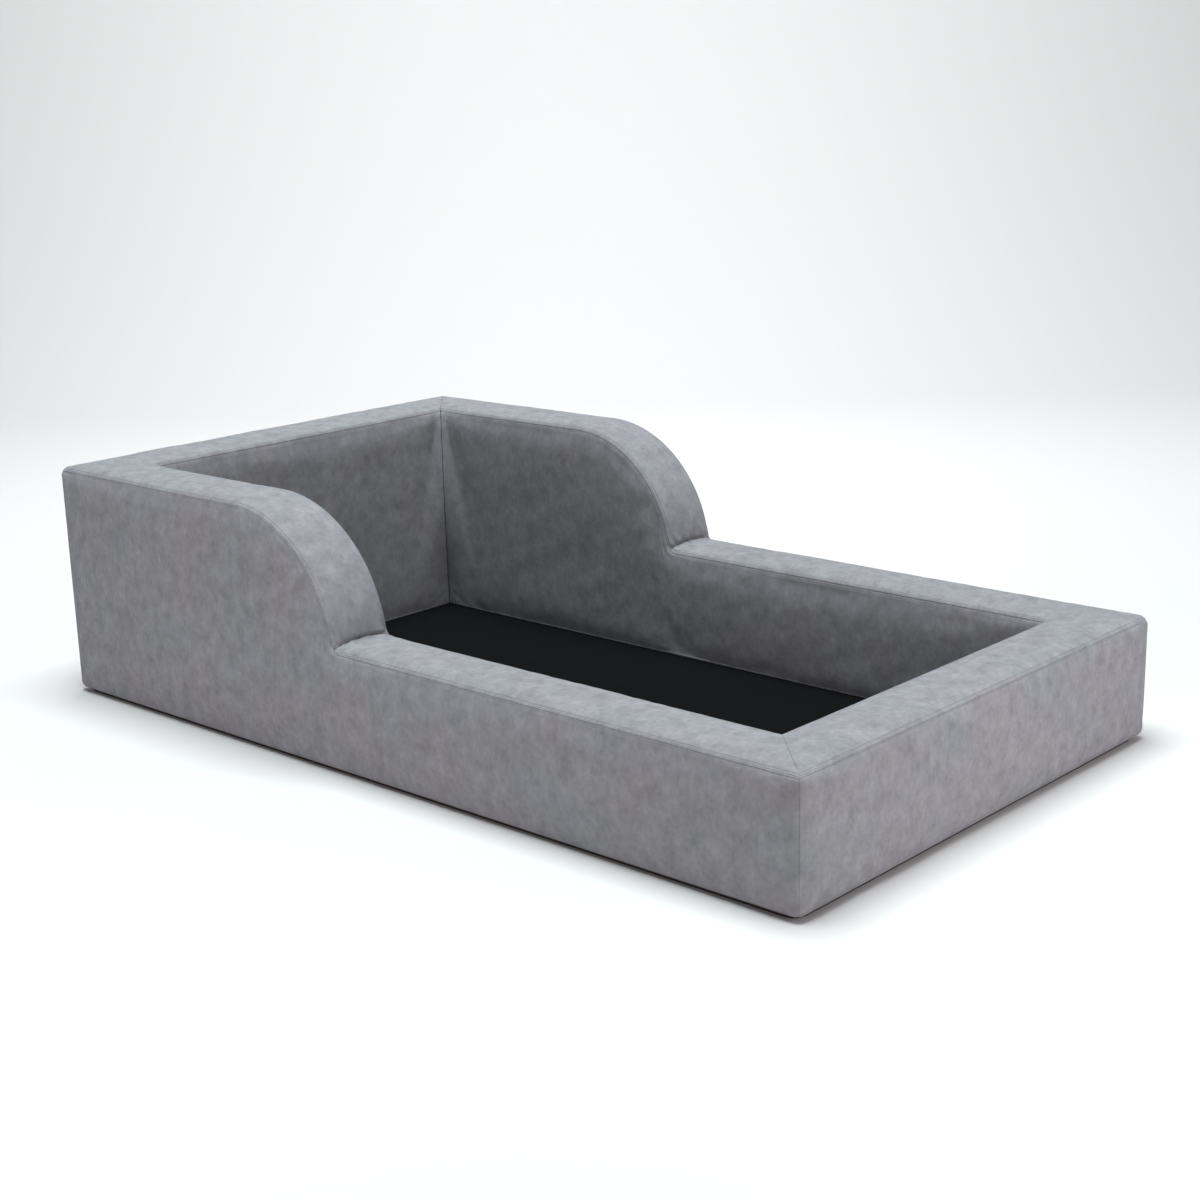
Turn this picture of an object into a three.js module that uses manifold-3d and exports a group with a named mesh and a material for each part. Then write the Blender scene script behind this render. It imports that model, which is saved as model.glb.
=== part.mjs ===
// An upholstered floor bed frame: four foam walls under a sewn fabric cover stand on a thin black base and
// close round a well for a mattress. The walls are high at the head end, and the two side walls sweep down
// in an arc to a low rim round the foot. A zip under the head end closes the cover.
//
// Millimetres. X runs across the bed, +Y towards the head end, +Z up, the origin is on the floor at the centre.

import * as THREE from 'three';
import { mergeVertices } from 'three/addons/utils/BufferGeometryUtils.js';
import Module from 'manifold-3d';

const wasm = await Module();
wasm.setup();

// Driving dimensions.
const bedLength = 1650;
const bedWidth = 950;
const headHeight = 420;
const rimHeight = 210;
const wallThickness = 125;
const armTopLength = 500; // level top of a side wall, from the head end's outer face to the start of its arc
const armArcRadius = 237;
const armFootRadius = 12; // hollow where the arc runs out into the low rim
const edgeRadius = 16; // padded edges
const outlineCornerRadius = 18; // corners of a wall's outline, more than edgeRadius so no end face closes to a point
const coverThickness = 1.5;
const seamInset = 6.5; // from a wall's face to the seam along its edge
const clothThickness = 0.8;
const boardThickness = 3;
const baseInset = 14; // base edge behind the walls' outer faces
const baseCornerRadius = 20;
const zipLength = 700;
const zipTapeAngle = (26 * Math.PI) / 180; // width of each tape, as an angle round the bottom edge
const zipTapeThickness = 0.5;
const zipCoilWidth = 2;
const zipCoilHeight = 1.4;
const zipSliderLength = 9;
const zipSliderWall = 0.8;
const zipStopLength = 4;

// Clearances between pieces.
const touchGap = 0.3; // between pieces that rest on each other
const seamGap = 0.4; // between panels that are sewn together

// Facets.
const edgeSteps = 3;
const arcSteps = 12;
const footSteps = 4;

// Levels of the layers, from the floor up.
const boardLow = clothThickness + touchGap;
const wallLow = boardLow + boardThickness + touchGap;

// The zip straddles the seam on the rounded bottom edge, at this angle from the outer face's direction.
const zipAngle = Math.acos(1 - seamInset / edgeRadius);

const foamInset = coverThickness + touchGap;
const quarter = Math.PI / 2;

const fabric = { color: 0x8a898f, roughness: 0.95, metalness: 0 };
const blackCloth = { color: 0x15161a, roughness: 0.9, metalness: 0 };
const foam = { color: 0xe9e3cf, roughness: 1, metalness: 0 };
const hardboard = { color: 0x7b5b3e, roughness: 0.8, metalness: 0 };
const zipPlastic = { color: 0x1c1c1f, roughness: 0.5, metalness: 0 };
const zipMetal = { color: 0x2a2a2d, roughness: 0.4, metalness: 0.8 };

// ---- Solids -------------------------------------------------------------------------------------------

// A closed manifold-3d solid from a closed three.js geometry.
function toSolid(geometry) {
  geometry.deleteAttribute('normal');
  geometry.deleteAttribute('uv');
  const merged = mergeVertices(geometry);
  const vertProperties = new Float32Array(merged.attributes.position.array);
  const triVerts = new Uint32Array(merged.index.array);
  return new wasm.Manifold(new wasm.Mesh({ numProp: 3, vertProperties, triVerts }));
}

function toGeometry(solid) {
  const mesh = solid.getMesh();
  const geometry = new THREE.BufferGeometry();
  geometry.setAttribute('position', new THREE.BufferAttribute(mesh.vertProperties, 3));
  geometry.setIndex(new THREE.BufferAttribute(mesh.triVerts, 1));
  geometry.computeVertexNormals();
  return geometry;
}

function addPiece(group, name, geometry, finish) {
  const piece = new THREE.Mesh(geometry, new THREE.MeshStandardMaterial(finish));
  piece.name = name;
  group.add(piece);
  return piece;
}

// Points on an arc, both ends included, with angles from the first axis.
function arcPoints(centreX, centreY, radius, from, to, steps) {
  const points = [];
  for (let i = 0; i <= steps; i += 1) {
    const angle = from + ((to - from) * i) / steps;
    points.push(new THREE.Vector2(centreX + radius * Math.cos(angle), centreY + radius * Math.sin(angle)));
  }
  return points;
}

// A flat plate with a vertical edge, from its plan outline.
function plate(outline, low, high) {
  const geometry = new THREE.ExtrudeGeometry(new THREE.Shape(outline), {
    depth: high - low,
    bevelEnabled: false,
  });
  return geometry.translate(0, 0, low);
}

// ---- Outlines of the walls, along the wall and up, shrunk all round by an inset --------------------------

function bottomCorners(halfLength, inset) {
  const corner = outlineCornerRadius - inset;
  const centreX = halfLength - inset - corner;
  const centreZ = wallLow + inset + corner;
  return [
    ...arcPoints(-centreX, centreZ, corner, 2 * quarter, 3 * quarter, edgeSteps),
    ...arcPoints(centreX, centreZ, corner, 3 * quarter, 4 * quarter, edgeSteps),
  ];
}

// A wall with a level top.
function levelOutline(length, height, inset) {
  const corner = outlineCornerRadius - inset;
  const centreX = length / 2 - inset - corner;
  const centreZ = height - inset - corner;
  return [
    ...bottomCorners(length / 2, inset),
    ...arcPoints(centreX, centreZ, corner, 0, quarter, edgeSteps),
    ...arcPoints(-centreX, centreZ, corner, quarter, 2 * quarter, edgeSteps),
  ];
}

// Where a side wall's arc ends and the hollow at its foot begins. The hollow's circle touches the arc's
// circle from outside, and stands on the low rim. An arc that ends above the hollow drops straight to it.
const arcCentreX = bedLength / 2 - armTopLength;
const arcCentreZ = headHeight - armArcRadius;
const footCentreZ = rimHeight + armFootRadius;
const footLift = Math.max(0, footCentreZ - arcCentreZ);
const footReach = armArcRadius + armFootRadius;
const footCentreX = arcCentreX - Math.sqrt(footReach ** 2 - footLift ** 2);
const touchAngle = Math.asin(footLift / footReach);

// A side wall, with its head end at +X: level, then down the arc, then along the low rim.
function sideOutline(inset) {
  const corner = outlineCornerRadius - inset;
  const centreX = bedLength / 2 - inset - corner;
  return [
    ...bottomCorners(bedLength / 2, inset),
    ...arcPoints(centreX, headHeight - inset - corner, corner, 0, quarter, edgeSteps),
    ...arcPoints(arcCentreX, arcCentreZ, armArcRadius - inset, quarter, 2 * quarter - touchAngle, arcSteps),
    ...arcPoints(footCentreX, footCentreZ, armFootRadius + inset, -touchAngle, -quarter, footSteps),
    ...arcPoints(-centreX, rimHeight - inset - corner, corner, quarter, 2 * quarter, edgeSteps),
  ];
}

// ---- Walls ----------------------------------------------------------------------------------------------
// Each wall has its own group, with X along the wall, Y inwards from its outer face and Z up.

// The padded block of a wall, with every edge rounded.
function paddedBlock(outline, inset) {
  const edge = edgeRadius - inset;
  const depth = wallThickness - 2 * inset - 2 * edge;
  const geometry = new THREE.ExtrudeGeometry(new THREE.Shape(outline), {
    depth,
    bevelEnabled: true,
    bevelThickness: edge,
    bevelSize: edge,
    bevelOffset: -edge,
    bevelSegments: edgeSteps,
  });
  geometry.rotateX(quarter);
  return toSolid(geometry.translate(0, inset + depth + edge, 0));
}

// A block of space over a strip of the wall's plan between two depths, with both ends mitred at 45 degrees.
function mitredStrip(length, near, far, low, high) {
  const halfAt = (depth) => length / 2 - depth - (seamGap / 2) * Math.SQRT2;
  const outline = [
    new THREE.Vector2(-halfAt(near), near),
    new THREE.Vector2(halfAt(near), near),
    new THREE.Vector2(halfAt(far), far),
    new THREE.Vector2(-halfAt(far), far),
  ];
  return toSolid(plate(outline, low, high));
}

// A block of space across the whole wall, from one place along it to another.
function crossBlock(from, to) {
  const geometry = new THREE.BoxGeometry(to - from, 2 * wallThickness, 2 * headHeight);
  return toSolid(geometry.translate((from + to) / 2, wallThickness / 2, headHeight));
}

// The foam core of a wall, and the sewn panels of its cover: an outer panel, an inner panel, a strip under
// the wall, and a top that is one band or is seamed across into several.
function addWall(wall) {
  const outside = paddedBlock(wall.outline(0), 0);
  const lining = paddedBlock(wall.outline(coverThickness), coverThickness);
  const core = paddedBlock(wall.outline(foamInset), foamInset);
  const skin = outside.subtract(lining);
  const beyond = 1; // the strips run past the faces, floor and top by this much
  const above = headHeight + beyond;
  const middle = rimHeight / 2;
  const seamOut = seamInset;
  const seamIn = wallThickness - seamInset;
  const half = seamGap / 2;
  const strip = (near, far, low, high) => mitredStrip(wall.length, near, far, low, high);
  const take = (solid, block) => toGeometry(solid.intersect(block));
  const group = wall.group;

  addPiece(group, `foam_core_${wall.name}`, take(core, strip(0, wallThickness, 0, above)), foam);
  addPiece(group, `outer_panel_${wall.name}`, take(skin, strip(-beyond, seamOut - half, 0, above)), fabric);
  const inner = strip(seamIn + half, wallThickness + beyond, 0, above);
  addPiece(group, `inner_panel_${wall.name}`, take(skin, inner), fabric);
  const under = strip(seamOut + half, seamIn - half, 0, middle);
  addPiece(group, `under_strip_${wall.name}`, take(skin, under), blackCloth);
  const top = skin.intersect(strip(seamOut + half, seamIn - half, middle, above));
  for (const band of wall.bands) {
    addPiece(group, `${band.name}_${wall.name}`, take(top, crossBlock(band.from, band.to)), fabric);
  }
}

function wallGroup(x, y, turn) {
  const group = new THREE.Group();
  group.position.set(x, y, 0);
  group.rotation.z = turn;
  bed.add(group);
  return group;
}

const bed = new THREE.Group();

const headWall = {
  name: 'head',
  length: bedWidth,
  group: wallGroup(0, bedLength / 2, Math.PI),
  outline: (inset) => levelOutline(bedWidth, headHeight, inset),
  bands: [{ name: 'top_band', from: -bedWidth, to: bedWidth }],
};

const footWall = {
  name: 'foot',
  length: bedWidth,
  group: wallGroup(0, -bedLength / 2, 0),
  outline: (inset) => levelOutline(bedWidth, rimHeight, inset),
  bands: [{ name: 'top_band', from: -bedWidth, to: bedWidth }],
};

// The seam across a side wall's top is in the hollow at the arc's foot. The right wall's group has the head
// end at its +X, and the left wall's group has it at its -X.
const rightWall = {
  name: 'right',
  length: bedLength,
  group: wallGroup(bedWidth / 2, 0, quarter),
  outline: sideOutline,
  bands: [
    { name: 'arm_band', from: footCentreX + seamGap / 2, to: bedLength },
    { name: 'rim_band', from: -bedLength, to: footCentreX - seamGap / 2 },
  ],
};

const leftWall = {
  name: 'left',
  length: bedLength,
  group: wallGroup(-bedWidth / 2, 0, -quarter),
  outline: (inset) => sideOutline(inset).map((point) => new THREE.Vector2(-point.x, point.y)),
  bands: rightWall.bands.map((band) => ({ name: band.name, from: -band.to, to: -band.from })),
};

for (const wall of [headWall, footWall, leftWall, rightWall]) {
  addWall(wall);
}

// ---- Base -----------------------------------------------------------------------------------------------

// Plan of the base, or of its half towards the head end (side 1) or the foot end (side -1).
function basePlan() {
  const x = bedWidth / 2 - baseInset - baseCornerRadius;
  const y = bedLength / 2 - baseInset - baseCornerRadius;
  return [
    ...arcPoints(x, y, baseCornerRadius, 0, quarter, edgeSteps),
    ...arcPoints(-x, y, baseCornerRadius, quarter, 2 * quarter, edgeSteps),
    ...arcPoints(-x, -y, baseCornerRadius, 2 * quarter, 3 * quarter, edgeSteps),
    ...arcPoints(x, -y, baseCornerRadius, 3 * quarter, 4 * quarter, edgeSteps),
  ];
}

function halfBasePlan(side) {
  const join = touchGap / 2;
  const half = bedWidth / 2 - baseInset;
  const rounded = basePlan().filter((point) => point.y > 0);
  const plan = [...rounded, new THREE.Vector2(-half, join), new THREE.Vector2(half, join)];
  return plan.map((point) => new THREE.Vector2(point.x, side * point.y));
}

function wellPlan() {
  const x = bedWidth / 2 - wallThickness - touchGap;
  const y = bedLength / 2 - wallThickness - touchGap;
  return [
    new THREE.Vector2(-x, -y),
    new THREE.Vector2(x, -y),
    new THREE.Vector2(x, y),
    new THREE.Vector2(-x, y),
  ];
}

addPiece(bed, 'underside_cloth', plate(basePlan(), 0, clothThickness), blackCloth);
addPiece(bed, 'base_board_head', plate(halfBasePlan(1), boardLow, boardLow + boardThickness), hardboard);
addPiece(bed, 'base_board_foot', plate(halfBasePlan(-1), boardLow, boardLow + boardThickness), hardboard);
addPiece(bed, 'floor_lining', plate(wellPlan(), wallLow, wallLow + clothThickness), blackCloth);

// ---- Zip ------------------------------------------------------------------------------------------------
// It runs along the head wall, on the rounded bottom edge. Heights are out from the cover's surface.

const tapeLow = touchGap;
const coilLow = tapeLow + zipTapeThickness + touchGap;
const sliderTopLow = coilLow + zipCoilHeight + touchGap;
const coilGap = touchGap / 2;

// A point of the zip's section: round the edge by an angle, and out from the cover.
function roundEdge(angle, out) {
  const radius = edgeRadius + out;
  return new THREE.Vector2(
    edgeRadius - radius * Math.cos(angle),
    wallLow + edgeRadius - radius * Math.sin(angle),
  );
}

// A point of the zip's section: sideways from the chain's middle, and out from the cover.
function acrossChain(across, out) {
  const middle = roundEdge(zipAngle, out);
  return middle.add(new THREE.Vector2(across * Math.sin(zipAngle), -across * Math.cos(zipAngle)));
}

// A section carried along the wall.
function alongWall(section, length) {
  const geometry = new THREE.ExtrudeGeometry(new THREE.Shape(section), {
    depth: length,
    bevelEnabled: false,
  });
  geometry.translate(0, 0, -length / 2);
  const turn = new THREE.Matrix4().makeBasis(
    new THREE.Vector3(0, 1, 0),
    new THREE.Vector3(0, 0, 1),
    new THREE.Vector3(1, 0, 0),
  );
  return geometry.applyMatrix4(turn);
}

function tapeSection(from, to) {
  const section = [];
  for (let i = 0; i <= edgeSteps; i += 1) {
    section.push(roundEdge(from + ((to - from) * i) / edgeSteps, tapeLow));
  }
  for (let i = edgeSteps; i >= 0; i -= 1) {
    section.push(roundEdge(from + ((to - from) * i) / edgeSteps, tapeLow + zipTapeThickness));
  }
  return section;
}

function barSection(from, to, low, high) {
  return [acrossChain(from, low), acrossChain(to, low), acrossChain(to, high), acrossChain(from, high)];
}

// A channel over the closed chain, open towards the tapes.
function sliderSection() {
  const inside = zipCoilWidth + coilGap + touchGap;
  const outside = inside + zipSliderWall;
  const top = sliderTopLow + zipSliderWall;
  return [
    acrossChain(-outside, coilLow),
    acrossChain(-inside, coilLow),
    acrossChain(-inside, sliderTopLow),
    acrossChain(inside, sliderTopLow),
    acrossChain(inside, coilLow),
    acrossChain(outside, coilLow),
    acrossChain(outside, top),
    acrossChain(-outside, top),
  ];
}

// A stop is clamped over one end of the chain, past its last tooth.
function addStop(name, side) {
  const reach = zipCoilWidth + coilGap;
  const geometry = alongWall(barSection(-reach, reach, coilLow, sliderTopLow), zipStopLength);
  const stop = addPiece(headWall.group, name, geometry, zipMetal);
  stop.position.x = side * (zipLength / 2 + touchGap + zipStopLength / 2);
}

const tapeLength = zipLength + 4 * zipStopLength;
const parting = coilGap / edgeRadius;
const upperTape = tapeSection(zipAngle - zipTapeAngle, zipAngle - parting);
const lowerTape = tapeSection(zipAngle + parting, zipAngle + zipTapeAngle);
const coilTop = coilLow + zipCoilHeight;
const upperCoil = barSection(-zipCoilWidth - coilGap, -coilGap, coilLow, coilTop);
const lowerCoil = barSection(coilGap, zipCoilWidth + coilGap, coilLow, coilTop);

addPiece(headWall.group, 'zip_tape_upper', alongWall(upperTape, tapeLength), blackCloth);
addPiece(headWall.group, 'zip_tape_lower', alongWall(lowerTape, tapeLength), blackCloth);
addPiece(headWall.group, 'zip_coil_upper', alongWall(upperCoil, zipLength), zipPlastic);
addPiece(headWall.group, 'zip_coil_lower', alongWall(lowerCoil, zipLength), zipPlastic);
addStop('zip_stop_left', 1);
addStop('zip_stop_right', -1);

// The slider is at the closed end of the chain, against the stop on the right.
const slider = addPiece(headWall.group, 'zip_slider', alongWall(sliderSection(), zipSliderLength), zipMetal);
slider.position.x = -(zipLength / 2 - zipSliderLength / 2);

export default bed;
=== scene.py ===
from math import acos, asin, cos, pi, radians, sin, sqrt

import bpy
import numpy as np
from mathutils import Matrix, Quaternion, Vector


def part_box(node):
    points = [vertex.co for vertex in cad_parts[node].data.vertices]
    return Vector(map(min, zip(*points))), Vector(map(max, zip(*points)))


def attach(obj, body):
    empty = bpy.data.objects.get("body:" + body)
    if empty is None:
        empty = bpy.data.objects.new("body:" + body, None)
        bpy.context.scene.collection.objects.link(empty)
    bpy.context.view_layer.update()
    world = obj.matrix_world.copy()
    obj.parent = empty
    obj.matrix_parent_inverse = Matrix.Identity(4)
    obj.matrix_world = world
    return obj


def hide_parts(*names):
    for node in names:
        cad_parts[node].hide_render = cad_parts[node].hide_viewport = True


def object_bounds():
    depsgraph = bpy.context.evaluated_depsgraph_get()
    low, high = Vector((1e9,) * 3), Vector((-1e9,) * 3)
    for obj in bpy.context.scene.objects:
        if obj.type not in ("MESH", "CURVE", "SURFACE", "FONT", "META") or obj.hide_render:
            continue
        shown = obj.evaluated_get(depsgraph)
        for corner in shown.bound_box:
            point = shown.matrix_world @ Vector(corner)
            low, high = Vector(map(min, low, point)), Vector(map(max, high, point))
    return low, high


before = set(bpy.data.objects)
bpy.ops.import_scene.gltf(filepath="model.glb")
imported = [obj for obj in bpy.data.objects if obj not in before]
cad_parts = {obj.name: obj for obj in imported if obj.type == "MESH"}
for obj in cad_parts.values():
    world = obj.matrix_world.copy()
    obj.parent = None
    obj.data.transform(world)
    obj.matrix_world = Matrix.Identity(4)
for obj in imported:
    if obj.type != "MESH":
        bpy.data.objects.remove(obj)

cad_box = [list(corner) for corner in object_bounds()]

# ---- Underside cloth --------------------------------------------------------------------------------------
# A sheet of black spunbond cloth, stapled flat under the hardboard base so that the frame slides on a floor.
# It is cut with round corners, and shows only as a thin dark line under the walls.

UNDERSIDE_CORNER = 0.020
SAME_POINT = 1e-5


def shader_of(name, **sockets):
    """A new material, its node tree and its Principled shader with these sockets set."""
    material = bpy.data.materials.new(name)
    material.use_nodes = True
    shader = material.node_tree.nodes["Principled BSDF"]
    for socket, value in sockets.items():
        shader.inputs[socket.replace("_", " ")].default_value = value
    return material, material.node_tree, shader


def noise_on_object(tree, scale, detail, stretch=(1, 1, 1)):
    """The value of a noise over Object coordinates. A stretch above 1 packs it closer along that axis."""
    place = tree.nodes.new("ShaderNodeTexCoord")
    mapping = tree.nodes.new("ShaderNodeMapping")
    noise = tree.nodes.new("ShaderNodeTexNoise")
    mapping.inputs["Scale"].default_value = stretch
    noise.inputs["Scale"].default_value = scale
    noise.inputs["Detail"].default_value = detail
    tree.links.new(place.outputs["Object"], mapping.inputs["Vector"])
    tree.links.new(mapping.outputs["Vector"], noise.inputs["Vector"])
    return noise.outputs["Fac"]


def colours_along(tree, value, low, high, spread=0.18):
    """A colour that goes from low to high as a noise value passes through its middle."""
    ramp = tree.nodes.new("ShaderNodeValToRGB")
    ramp.color_ramp.elements[0].position = 0.5 - spread
    ramp.color_ramp.elements[1].position = 0.5 + spread
    ramp.color_ramp.elements[0].color = (*low, 1)
    ramp.color_ramp.elements[1].color = (*high, 1)
    tree.links.new(value, ramp.inputs["Fac"])
    return ramp.outputs["Color"]


def raise_nap(tree, shader, heights, strength, distance):
    """Bumps the shader by several height values, one after another."""
    normal = None
    for height in heights:
        bump = tree.nodes.new("ShaderNodeBump")
        bump.inputs["Strength"].default_value = strength
        bump.inputs["Distance"].default_value = distance
        tree.links.new(height, bump.inputs["Height"])
        if normal is not None:
            tree.links.new(normal, bump.inputs["Normal"])
        normal = bump.outputs["Normal"]
    tree.links.new(normal, shader.inputs["Normal"])


def spunbond_cloth():
    """Black bonded fibres: a fine random mat with some duller, lighter fibres."""
    material, tree, shader = shader_of("spunbond_cloth", Roughness=0.95, Specular_IOR_Level=0.08)
    fibres = noise_on_object(tree, scale=900, detail=4, stretch=(1, 0.35, 1))
    clouds = noise_on_object(tree, scale=14, detail=3)
    colour = colours_along(tree, fibres, (0.0024, 0.0025, 0.0028), (0.0054, 0.0056, 0.0062))
    tree.links.new(colour, shader.inputs["Base Color"])
    raise_nap(tree, shader, [fibres, clouds], strength=0.35, distance=0.0006)
    return material


def sheet_mesh(name, points, facing, material, thickness=0.0):
    """A mesh over a grid of points, a quad between each four neighbours, wound so that its faces look the
    same way as facing. With a thickness, points that coincide are joined and a wall lies behind the faces."""
    rows, columns = points.shape[:2]
    index = np.arange(rows * columns).reshape(rows, columns)
    quads = np.stack([index[:-1, :-1], index[:-1, 1:], index[1:, 1:], index[1:, :-1]], axis=-1)
    across = points[:-1, 1:] - points[:-1, :-1]
    down = points[1:, :-1] - points[:-1, :-1]
    if (np.cross(across, down) * facing[:-1, :-1]).sum() < 0:
        quads = quads[..., ::-1]
    mesh = bpy.data.meshes.new(name)
    mesh.from_pydata(points.reshape(-1, 3).tolist(), [], quads.reshape(-1, 4).tolist())
    mesh.polygons.foreach_set("use_smooth", np.ones(len(mesh.polygons), bool))
    mesh.materials.append(material)
    piece = bpy.data.objects.new(name, mesh)
    bpy.context.scene.collection.objects.link(piece)
    if thickness:
        joined = piece.modifiers.new("joined_corners", "WELD")
        joined.merge_threshold = SAME_POINT
        wall = piece.modifiers.new("cloth_thickness", "SOLIDIFY")
        wall.thickness = thickness
        wall.offset = -1
    return piece


black_cloth = spunbond_cloth()
base_low, base_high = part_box("underside_cloth")
base_half = (base_high - base_low) / 2


def underside_grid(rows, columns):
    """A rectangle with round corners: across each row, the half width is that of the corner's circle."""
    y = np.linspace(-base_half.y, base_half.y, rows)[:, None]
    into_corner = np.clip(np.abs(y) - (base_half.y - UNDERSIDE_CORNER), 0, None)
    half = base_half.x - UNDERSIDE_CORNER + np.sqrt(np.clip(UNDERSIDE_CORNER**2 - into_corner**2, 0, None))
    x = np.linspace(-1, 1, columns)[None, :] * half
    return np.stack([x, y + 0 * x, base_low.z + 0 * x], axis=-1)


underside_points = underside_grid(rows=320, columns=60)
underside = sheet_mesh(
    "bottom_cloth", underside_points, np.broadcast_to((0, 0, -1.0), underside_points.shape), black_cloth,
    base_high.z - base_low.z,
)
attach(underside, "bed")
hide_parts("underside_cloth")

# ---- Base boards ------------------------------------------------------------------------------------------
# Two halves of 3 mm hardboard, dark brown fibre pressed with a smooth tempered face. They keep the shape
# that they are cut to, and only get their material here.


def pressed_fibre():
    """Dark tempered hardboard: short matted brown fibres."""
    material, tree, shader = shader_of("hardboard", Roughness=0.62)
    fibres = noise_on_object(tree, scale=700, detail=5, stretch=(0.4, 1, 1))
    colour = colours_along(tree, fibres, (0.030, 0.018, 0.011), (0.062, 0.038, 0.024))
    tree.links.new(colour, shader.inputs["Base Color"])
    raise_nap(tree, shader, [fibres], strength=0.25, distance=0.0003)
    return material


hardboard = pressed_fibre()
for board_name in ("base_board_head", "base_board_foot"):
    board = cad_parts[board_name]
    board.data.materials.clear()
    board.data.materials.append(hardboard)

# ---- Foam cores -------------------------------------------------------------------------------------------
# One block of open-cell foam in each wall, mitred and glued at the corners, a little smaller than the cover.
# The side blocks are cut with a level top, an arc, a small hollow at its foot, and a low rim to the foot end.

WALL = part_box("inner_panel_foot")[1].y - cad_box[0][1]
LENGTH = cad_box[1][1] - cad_box[0][1]
WIDTH = cad_box[1][0] - cad_box[0][0]
HEAD_HEIGHT = cad_box[1][2]
RIM_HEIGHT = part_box("top_band_foot")[1].z
WALL_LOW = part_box("under_strip_foot")[0].z
ARM_TOP = 0.500
ARC_RADIUS = 0.237
HOLLOW_RADIUS = 0.012
FOAM_INSET = 0.0065
FOAM_ROUND = 0.012
FOAM_STEPS = 260
FOAM_ABOVE_STRIP = 0.001
FLOOR_SPREAD_FROM = 0.6 * ARM_TOP
FLOOR_SPREAD_PAST = 0.5 * ARM_TOP

arc_height = HEAD_HEIGHT - ARC_RADIUS
hollow_height = RIM_HEIGHT + HOLLOW_RADIUS
hollow_dip = asin((hollow_height - arc_height) / (ARC_RADIUS + HOLLOW_RADIUS))
hollow_place = ARM_TOP + (ARC_RADIUS + HOLLOW_RADIUS) * cos(hollow_dip)
arc_turn = pi / 2 - hollow_dip
arc_end = ARM_TOP + ARC_RADIUS * arc_turn
hollow_end = arc_end + HOLLOW_RADIUS * arc_turn
side_reach = hollow_end + LENGTH - hollow_place


def side_top(s):
    """A side wall's top line at distance s along it from the head end: its place along the wall, its height,
    how far its outward direction leans to the foot end, and the place on the floor that belongs to it.
    The lean rises evenly round the arc and falls evenly round the hollow."""
    lean = np.interp(s, [0, ARM_TOP, arc_end, hollow_end, side_reach], [0, 0, arc_turn, 0, 0])
    stages = [s < ARM_TOP, s < arc_end, s < hollow_end]
    along = np.select(
        stages,
        [s, ARM_TOP + ARC_RADIUS * np.sin(lean), hollow_place - HOLLOW_RADIUS * np.sin(lean)],
        hollow_place + s - hollow_end,
    )
    height = np.select(
        stages,
        [
            HEAD_HEIGHT + 0 * s,
            arc_height + ARC_RADIUS * np.cos(lean),
            hollow_height - HOLLOW_RADIUS * np.cos(lean),
        ],
        RIM_HEIGHT,
    )
    spread_from, spread_to = FLOOR_SPREAD_FROM, hollow_place + FLOOR_SPREAD_PAST
    spread_end = hollow_end + spread_to - hollow_place
    floor = np.interp(s, [0, spread_from, spread_end, side_reach], [0, spread_from, spread_to, LENGTH])
    return along, height, lean, floor


def level_top(height):
    """The same four values for a wall with a level top: the distance, the height, no lean, the distance."""
    return lambda s: (s, height + 0 * s, 0 * s, s)


# Each wall starts at a corner and runs along the bed; depth goes inwards from its outer face.
walls = {
    "head": {
        "corner": (-1, 1), "along": (1, 0), "inward": (0, -1),
        "reach": WIDTH, "top": level_top(HEAD_HEIGHT),
    },
    "foot": {
        "corner": (-1, -1), "along": (1, 0), "inward": (0, 1),
        "reach": WIDTH, "top": level_top(RIM_HEIGHT),
    },
    "left": {
        "corner": (-1, 1), "along": (0, -1), "inward": (1, 0),
        "reach": side_reach, "top": side_top,
    },
    "right": {
        "corner": (1, 1), "along": (0, -1), "inward": (-1, 0),
        "reach": side_reach, "top": side_top,
    },
}


def turn_to_frame(wall, along, depth, up):
    """A direction given along the wall, into it and up, as X, Y and Z."""
    x = along * wall["along"][0] + depth * wall["inward"][0]
    y = along * wall["along"][1] + depth * wall["inward"][1]
    return np.stack(np.broadcast_arrays(x, y, up), axis=-1)


def place_in_frame(wall, along, depth, up):
    """A point given along the wall, into it and up, as X, Y and Z."""
    corner = np.array([wall["corner"][0] * WIDTH / 2, wall["corner"][1] * LENGTH / 2, 0])
    return turn_to_frame(wall, along, depth, up) + corner


def foam_ring(steps):
    """Section of the block, a rectangle with quarter circles at its corners: the depth of each point, its gap
    to the top line or the bottom, and whether that gap counts from the top."""
    near, far = FOAM_INSET + FOAM_ROUND, WALL - FOAM_INSET - FOAM_ROUND
    turn = np.linspace(0, pi / 2, steps)
    curve, rest = FOAM_ROUND * np.sin(turn), FOAM_ROUND * (1 - np.cos(turn))
    depth = np.concatenate([near - curve[::-1], far + curve, far + curve[::-1], near - curve])
    gap = np.concatenate([rest[::-1], rest, rest[::-1], rest])
    from_top = np.arange(len(depth)) < 2 * steps
    return depth, gap, from_top


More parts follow.
